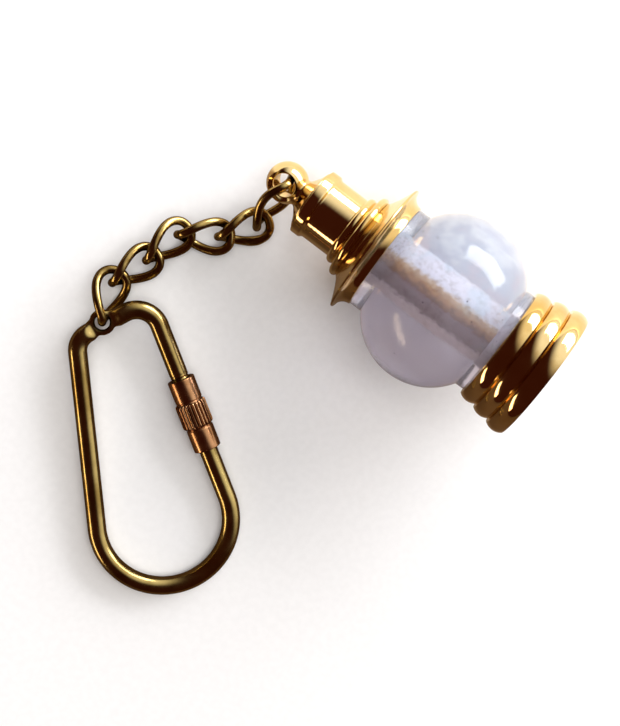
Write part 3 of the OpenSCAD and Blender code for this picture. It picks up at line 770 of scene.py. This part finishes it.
def clipPlan():
    gateBend, spineBend = (clip["gateBendAt"], clip["gateBend"]), (clip["spineBendAt"], clip["spineBend"])
    wideBend = ((0, 0), clip["wideBend"])
    gate = tangentAngle(*wideBend, *gateBend)
    top = tangentAngle(*gateBend, *spineBend)
    spine = tangentAngle(*spineBend, *wideBend) + 2 * math.pi
    topStart = onBend(*gateBend, top)
    topEnd = onBend(*spineBend, top)
    eye = topEnd + (topStart - topEnd) * clip["eyeShare"]
    return {"gate": gate, "top": top, "spine": spine, "foot": onBend(*wideBend, gate),
            "head": onBend(*gateBend, gate), "topStart": topStart, "topEnd": topEnd, "eye": eye,
            "eyeCentre": eye + clip["eyeOut"] * Vector((math.cos(top), math.sin(top))),
            "spineHead": onBend(*spineBend, spine), "spineFoot": onBend(*wideBend, spine)}


plan = clipPlan()
pin = Vector(joints["clip_swing"]["pos_m"]) / mm
eyeHeight = pin.z + clip["eyeRise"]
clipTilt = math.asin((eyeHeight - clip["wire"] / 2) / (plan["eyeCentre"].length + clip["wideBend"]))
onClip = Matrix.Translation((pin.x, pin.y, eyeHeight)) \
    @ Matrix.Rotation(math.radians(clip["heading"]), 4, "Z") @ Matrix.Rotation(-clipTilt, 4, "Y") \
    @ Matrix.Translation((-plan["eyeCentre"].x, -plan["eyeCentre"].y, 0))
gateRun = (plan["head"] - plan["foot"]).normalized()
onGate = onClip @ Matrix.Translation((plan["foot"].x, plan["foot"].y, 0)) \
    @ Matrix.Rotation(plan["gate"] + math.pi / 2, 4, "Z") @ Matrix.Rotation(math.pi / 2, 4, "Y")


def straight(a, b, step):
    # stations along a straight run, each with its spot and the direction outwards
    count = max(1, round((b - a).length / step))
    way = (b - a).normalized()
    return [(a + (b - a) * k / count, Vector((way.y, -way.x))) for k in range(count)]


def bent(centre, radius, fromAngle, toAngle, step):
    count = max(6, round(radius * (toAngle - fromAngle) / step))
    stations = []
    for k in range(count):
        angle = fromAngle + (toAngle - fromAngle) * k / count
        out = Vector((math.cos(angle), math.sin(angle)))
        stations.append((Vector(centre) + radius * out, out))
    return stations


def clipStations():
    # from the threaded free end at the gate, right round to the other side of the gate
    step = clip["step"]
    gapLow = clip["sleeveFoot"] + clip["grip"]
    start = plan["foot"] + gateRun * (gapLow + clip["gateGap"])
    threadStop = plan["foot"] + gateRun * (clip["sleeveFoot"] + sleeve["length"] + 0.9)
    stop = plan["foot"] + gateRun * gapLow
    path = straight(start, threadStop, clip["threadPitch"] / 8)
    threadCount = len(path)
    path += straight(threadStop, plan["head"], step)
    path += bent(clip["gateBendAt"], clip["gateBend"], plan["gate"], plan["top"], step)
    path += straight(plan["topStart"], plan["topEnd"], step / 2)
    path += bent(clip["spineBendAt"], clip["spineBend"], plan["top"], plan["spine"], step)
    path += straight(plan["spineHead"], plan["spineFoot"], step * 2)
    path += bent((0, 0), clip["wideBend"], plan["spine"], plan["gate"] + 2 * math.pi, step * 1.5)
    path += straight(plan["foot"], stop, step)
    path.append((stop, path[-1][1]))
    return path, threadCount


def makeClip():
    radius = clip["wire"] / 2
    sides = clip["sides"]
    along = (plan["topEnd"] - plan["topStart"]).normalized()
    path, threadCount = clipStations()
    points = []
    rings = []
    travelled = 0
    previous = path[0][0]
    for index, (spot, out) in enumerate(path):
        travelled += (spot - previous).length
        previous = spot
        # the wire is hammered flat and wide about the eye
        fromEye = abs((spot - plan["eye"]).dot(along)) if (spot - plan["eye"]).length < 5 else 9
        blend = max(0.0, min(1.0, (3.1 - fromEye) / 1.5))
        blend = blend * blend * (3 - 2 * blend)
        flatHalf = math.sqrt(max(0.0, clip["eyeRadius"] ** 2 - min(fromEye, clip["eyeRadius"]) ** 2))
        wide = max(radius - 0.02 * blend, flatHalf)
        tall = radius + (clip["eyeThickness"] / 2 - radius) * blend
        shift = clip["eyeOut"] * max(0.0, min(1.0, (clip["eyeRadius"] + 0.3 - fromEye) / 1.2))
        power = 1 - 0.42 * blend
        rings.append(list(range(len(points), len(points) + sides)))
        for k in range(sides):
            angle = 2 * math.pi * k / sides
            thread = 0
            if index < threadCount:
                phase = (travelled / clip["threadPitch"] + k / sides) % 1
                fade = min(1, (threadCount - index) / 10)
                thread = clip["threadDepth"] * abs(2 * phase - 1) * fade
            aside = out * ((wide - thread) * squared(math.cos(angle), power) + shift)
            lift = (tall - thread) * squared(math.sin(angle), power)
            spotHere = spot + aside
            points.append(onClip @ Vector((spotHere.x, spotHere.y, lift)))
    faces = []
    for low, high in zip(rings, rings[1:]):
        for k in range(sides):
            j = (k + 1) % sides
            faces.append((low[k], high[k], high[j], low[j]))
    for ring in (rings[0], rings[-1]):
        # a shoulder and a smaller flat face close each end of the wire
        centre = sum((points[i] for i in ring), Vector()) / sides
        tip = [len(points) + k for k in range(sides)]
        for i in ring:
            points.append(centre + (points[i] - centre) * clip["endChamfer"])
        for k in range(sides):
            j = (k + 1) % sides
            faces.append((ring[k], ring[j], tip[j], tip[k]))
        faces.append(tuple(tip))
    piece = meshPiece("clip_wire", points, faces, antiqueBrass, 40)
    faceOutwards(piece)
    # the eye's hole is eased at both mouths
    hole = clip["eyeHole"]
    half = clip["eyeThickness"] / 2
    side = roundCorners([(-2.5, hole + 1.1), (-half - 0.12, hole + 0.45, 0.25), (-half + 0.3, hole, 0.3),
                         (half - 0.3, hole, 0.3), (half + 0.12, hole + 0.45, 0.25), (2.5, hole + 1.1)], 5)
    place = onClip @ Matrix.Translation((plan["eyeCentre"].x, plan["eyeCentre"].y, 0))
    drill = turned("eye_drill", [(-2.5, 0)] + side + [(2.5, 0)], place, antiqueBrass, 56)
    return drilled(piece, drill)


def makeSleeve():
    # two plain barrels on one tube, with a turned neck at each side of the knurled ring's seat
    radius, bore, seat = sleeve["radius"], sleeve["bore"], sleeve["knurlSeat"]
    neck = radius - sleeve["neckDepth"]
    foot = clip["sleeveFoot"]
    head = foot + sleeve["length"]
    knurlFoot = foot + (sleeve["length"] - sleeve["knurlLength"]) / 2
    knurlHead = knurlFoot + sleeve["knurlLength"]
    low = knurlFoot - sleeve["gap"]
    high = knurlHead + sleeve["gap"]
    profile = roundCorners([
        (foot, bore + 0.1), (foot, radius, sleeve["edge"]), (knurlFoot - 0.42, radius, 0.12),
        (knurlFoot - 0.30, neck, 0.05), (knurlFoot - 0.2, neck, 0.05), (low, radius - 0.02, 0.05),
        (low, seat, 0.02), (high, seat, 0.02), (high, radius - 0.02, 0.05), (knurlHead + 0.2, neck, 0.05),
        (knurlHead + 0.30, neck, 0.05), (knurlHead + 0.42, radius, 0.12), (head, radius, sleeve["edge"]),
        (head, bore + 0.1), (head - 0.12, bore), (foot + 0.12, bore)])
    return turned("screw_sleeve", profile, onGate, copperBrass, 112, True, 30)


def knurlTree():
    # a toothed circle swept along the ring's length, chamfered at both ends and bored
    tree, sockets, given = newTree("straight knurl", {
        "Base": "Geometry", "Grooves": "Int", "Radius": "Float", "Groove Depth": "Float", "Bore": "Float",
        "Length": "Float", "Finish": "Material"}, "Ring")
    perGroove = 10
    count = addNode(tree, "ShaderNodeMath", {"operation": "MULTIPLY", 1: perGroove},
                    {0: given.outputs["Grooves"]})
    circle = addNode(tree, "GeometryNodeCurvePrimitiveCircle",
                     links={"Resolution": count.outputs[0], "Radius": given.outputs["Radius"]})
    # each groove is a narrow dip, a cosine raised to a power, as a share of the radius
    dip = addNode(tree, "GeometryNodeInputIndex").outputs[0]
    for operation, numbers, links in (
            ("MULTIPLY", {1: 2 * math.pi / perGroove}, {}), ("COSINE", {}, {}),
            ("MULTIPLY_ADD", {1: 0.5, 2: 0.5}, {}), ("POWER", {1: 2.2}, {}),
            ("MULTIPLY", {}, {1: given.outputs["Groove Depth"]}),
            ("DIVIDE", {}, {1: given.outputs["Radius"]}), ("MULTIPLY", {1: -1.0}, {})):
        dip = addNode(tree, "ShaderNodeMath", {"operation": operation, **numbers},
                      {0: dip, **links}).outputs[0]
    offset = addNode(tree, "ShaderNodeVectorMath", {"operation": "SCALE"},
                     {0: addNode(tree, "GeometryNodeInputPosition").outputs[0], "Scale": dip})
    toothed = addNode(tree, "GeometryNodeSetPosition",
                      links={"Geometry": circle.outputs["Curve"], "Offset": offset.outputs[0]})
    top = addNode(tree, "ShaderNodeCombineXYZ", links={"Z": given.outputs["Length"]})
    line = addNode(tree, "GeometryNodeCurvePrimitiveLine", links={"End": top.outputs[0]})
    stations = addNode(tree, "GeometryNodeResampleCurve", {"Count": 33}, {"Curve": line.outputs[0]})
    # the section shrinks over the first and last tenth of the length
    fromMiddle = addNode(tree, "ShaderNodeMath", {"operation": "SUBTRACT", 1: 0.5},
                         {0: addNode(tree, "GeometryNodeSplineParameter").outputs["Factor"]})
    away = addNode(tree, "ShaderNodeMath", {"operation": "ABSOLUTE"}, {0: fromMiddle.outputs[0]})
    shrink = addNode(tree, "ShaderNodeMapRange",
                     {"From Min": 0.44, "From Max": 0.5, "To Min": 1.0, "To Max": 0.94},
                     {"Value": away.outputs[0]})
    sized = addNode(tree, "GeometryNodeSetCurveRadius",
                    links={"Curve": stations.outputs[0], "Radius": shrink.outputs["Result"]})
    swept = sweepAlong(tree, sized.outputs[0], toothed.outputs[0])
    sealed = addNode(tree, "GeometryNodeMergeByDistance", {"Distance": 0.001 * mm},
                     {"Geometry": swept.outputs[0]})
    drillLength = addNode(tree, "ShaderNodeMath", {"operation": "MULTIPLY", 1: 3.0},
                          {0: given.outputs["Length"]})
    drill = addNode(tree, "GeometryNodeMeshCylinder", {"Vertices": 96},
                    {"Radius": given.outputs["Bore"], "Depth": drillLength.outputs[0]})
    bored = addNode(tree, "GeometryNodeMeshBoolean", {"operation": "DIFFERENCE", "solver": "EXACT"},
                    {0: sealed.outputs[0], 1: drill.outputs[0]})
    endTree(tree, bored.outputs[0], given.outputs["Finish"])
    return tree, sockets


def makeKnurl():
    tree, sockets = knurlTree()
    piece = treePiece("knurled_ring", bpy.data.meshes.new("knurl_start"), tree, sockets, {
        "Grooves": sleeve["grooves"], "Radius": sleeve["knurlRadius"] * mm,
        "Groove Depth": sleeve["grooveDepth"] * mm, "Bore": (sleeve["knurlSeat"] + 0.05) * mm,
        "Length": sleeve["knurlLength"] * mm, "Finish": copperBrass}, 30)
    foot = clip["sleeveFoot"] + (sleeve["length"] - sleeve["knurlLength"]) / 2
    toPlace = Matrix.Scale(mm, 4) @ onGate @ Matrix.Translation((0, 0, foot)) @ Matrix.Scale(1 / mm, 4)
    piece.data.transform(toPlace)
    faceOutwards(piece)
    piece.data.set_sharp_from_angle(angle=math.radians(30))
    return piece


handOver(makeClip(), "clip", "antique_brass", "clip_loop")
handOver(makeSleeve(), "sleeve", "copper_brass", "gate_sleeve")
handOver(makeKnurl(), "knurl", "copper_brass", "knurl_ring")
print("clip made")


# The table is matt white paper with a 1.1 mm grain. Glossy rays from polished metal see a painted reflection in
# place
# of the paper: the "inMetal" colours, dark brown to tan, which turn bright cream over its first 40 mm along Y
table = {
    "side": 3.0, "light": "#F4F3F1", "dark": "#F1F0EE", "grainsPerMetre": 900, "paintedReflectionAcross": 0.04,
    "inMetal": [(0.1, "#5A4636"), (0.45, "#95816A"), (0.62, "#A08C74"), (0.72, "#FFF6E6")],
}


def makeTable():
    half = table["side"] / 2
    mesh = bpy.data.meshes.new("table")
    corners = [(-half, -half, 0), (half, -half, 0), (half, half, 0), (-half, half, 0)]
    mesh.from_pydata(corners, [], [(0, 1, 2, 3)])
    floor = newObject("table", mesh)
    paper, tree, shader = newMaterial("matt white paper", {"Roughness": 0.9})
    surface = shader.outputs[0].links[0].to_socket
    coords = addNode(tree, "ShaderNodeTexCoord").outputs["Object"]
    grain = addNode(tree, "ShaderNodeTexNoise", {"Scale": table["grainsPerMetre"], "Detail": 4},
                    {"Vector": coords})
    colour = addNode(tree, "ShaderNodeValToRGB", {"stops": [(0.3, table["dark"]), (0.7, table["light"])]},
                     {"Fac": grain.outputs["Fac"]})
    tree.links.new(colour.outputs["Color"], shader.inputs["Base Color"])
    # painted reflection: glossy rays that are not transmission rays get the inMetal colours instead of the white
    # paper
    ray = addNode(tree, "ShaderNodeLightPath")
    paintedReflectionMask = addNode(tree, "ShaderNodeMath", {"operation": "SUBTRACT", "use_clamp": True},
                       {0: ray.outputs["Is Glossy Ray"], 1: ray.outputs["Is Transmission Ray"]})
    place = addNode(tree, "ShaderNodeSeparateXYZ", links={"Vector": coords})
    across = addNode(tree, "ShaderNodeMapRange", {"From Min": 0.0, "From Max": table["paintedReflectionAcross"]},
                     {"Value": place.outputs["Y"]})
    paintedReflectionColour = addNode(tree, "ShaderNodeValToRGB", {"stops": table["inMetal"]},
                    {"Fac": across.outputs["Result"]})
    paintedReflectionShader = addNode(tree, "ShaderNodeBsdfDiffuse", links={"Color": paintedReflectionColour.outputs["Color"]})
    either = addNode(tree, "ShaderNodeMixShader",
                     links={0: paintedReflectionMask.outputs[0], 1: shader.outputs[0], 2: paintedReflectionShader.outputs[0]})
    tree.links.new(either.outputs[0], surface)
    mesh.materials.append(paper)
    return floor


floor = makeTable()

# The room glows from warm and dark to bright on one side. A softbox is given by its place from the
# object's middle, width and height in metres, watts, colour, and whether metal mirrors it
studio = {
    "brightSide": (0.25, 0.93, 0.22), "glow": [(0.30, "#38180F"), (0.78, 1.15)],
    "softboxes": {
        "key": ((0.14, 0.66, 0.26), 0.80, 0.30, 7.0, "#F8F9FF", True),
        "fill": ((-0.30, -0.60, 0.10), 0.50, 0.12, 1.0, "#FFE7C8", True),
        "overhead": ((0.0, 0.0, 1.0), 0.90, 0.90, 6.5, "#FFFFFF", False),
    },
}
middle = (Vector(cadBox[0]) + Vector(cadBox[1])) / 2


def makeRoom():
    world = bpy.data.worlds.new("studio")
    bpy.context.scene.world = world
    world.use_nodes = True
    sky = world.node_tree
    sky.nodes.clear()
    direction = addNode(sky, "ShaderNodeTexCoord")
    facing = addNode(sky, "ShaderNodeVectorMath",
                     {"operation": "DOT_PRODUCT", 1: Vector(studio["brightSide"]).normalized()},
                     {0: direction.outputs["Generated"]})
    glow = addNode(sky, "ShaderNodeValToRGB", {"stops": studio["glow"]}, {"Fac": facing.outputs["Value"]})
    background = addNode(sky, "ShaderNodeBackground", {"Strength": 1.0}, {"Color": glow.outputs["Color"]})
    addNode(sky, "ShaderNodeOutputWorld", links={"Surface": background.outputs[0]})


def makeSoftbox(name, offset, width, height, power, colour, inMetal):
    place = middle + Vector(offset)
    lamp = bpy.data.lights.new(name, "AREA")
    lamp.shape = "RECTANGLE"
    lamp.size = width
    lamp.size_y = height
    lamp.energy = power
    lamp.color = linear(colour)[:3]
    holder = newObject(name, lamp)
    holder.location = place
    holder.rotation_euler = (middle - place).to_track_quat("-Z", "Y").to_euler()
    holder.visible_glossy = inMetal


makeRoom()
for name, settings in studio["softboxes"].items():
    makeSoftbox(name, *settings)

# The camera looks almost straight down: lean in degrees, distances in metres, lens in mm
view = {
    "lean": 10.4, "distance": 0.19741, "aside": 0.00433, "above": 0.00446, "lens": 77.42,
    "up": (-0.6157, 0.788, 0.0),
}


def makeCamera():
    lean = math.radians(view["lean"])
    towards = Vector((-math.sin(lean), 0, math.cos(lean)))
    up = Vector(view["up"])
    up = (up - towards * up.dot(towards)).normalized()
    right = up.cross(towards)
    eyePoint = middle + towards * view["distance"] + right * view["aside"] + up * view["above"]
    lensData = bpy.data.cameras.new("camera")
    lensData.lens = view["lens"]
    lensData.sensor_fit = "HORIZONTAL"
    lensData.sensor_width = 36
    lensData.clip_start = 0.01
    camera = newObject("camera", lensData)
    camera.matrix_world = Matrix((
        (right.x, up.x, towards.x, eyePoint.x),
        (right.y, up.y, towards.y, eyePoint.y),
        (right.z, up.z, towards.z, eyePoint.z),
        (0, 0, 0, 1)))
    return camera


bpy.context.scene.camera = makeCamera()
bpy.context.scene.view_settings.view_transform = "Standard"
print("studio made")

bpy.context.view_layer.update()
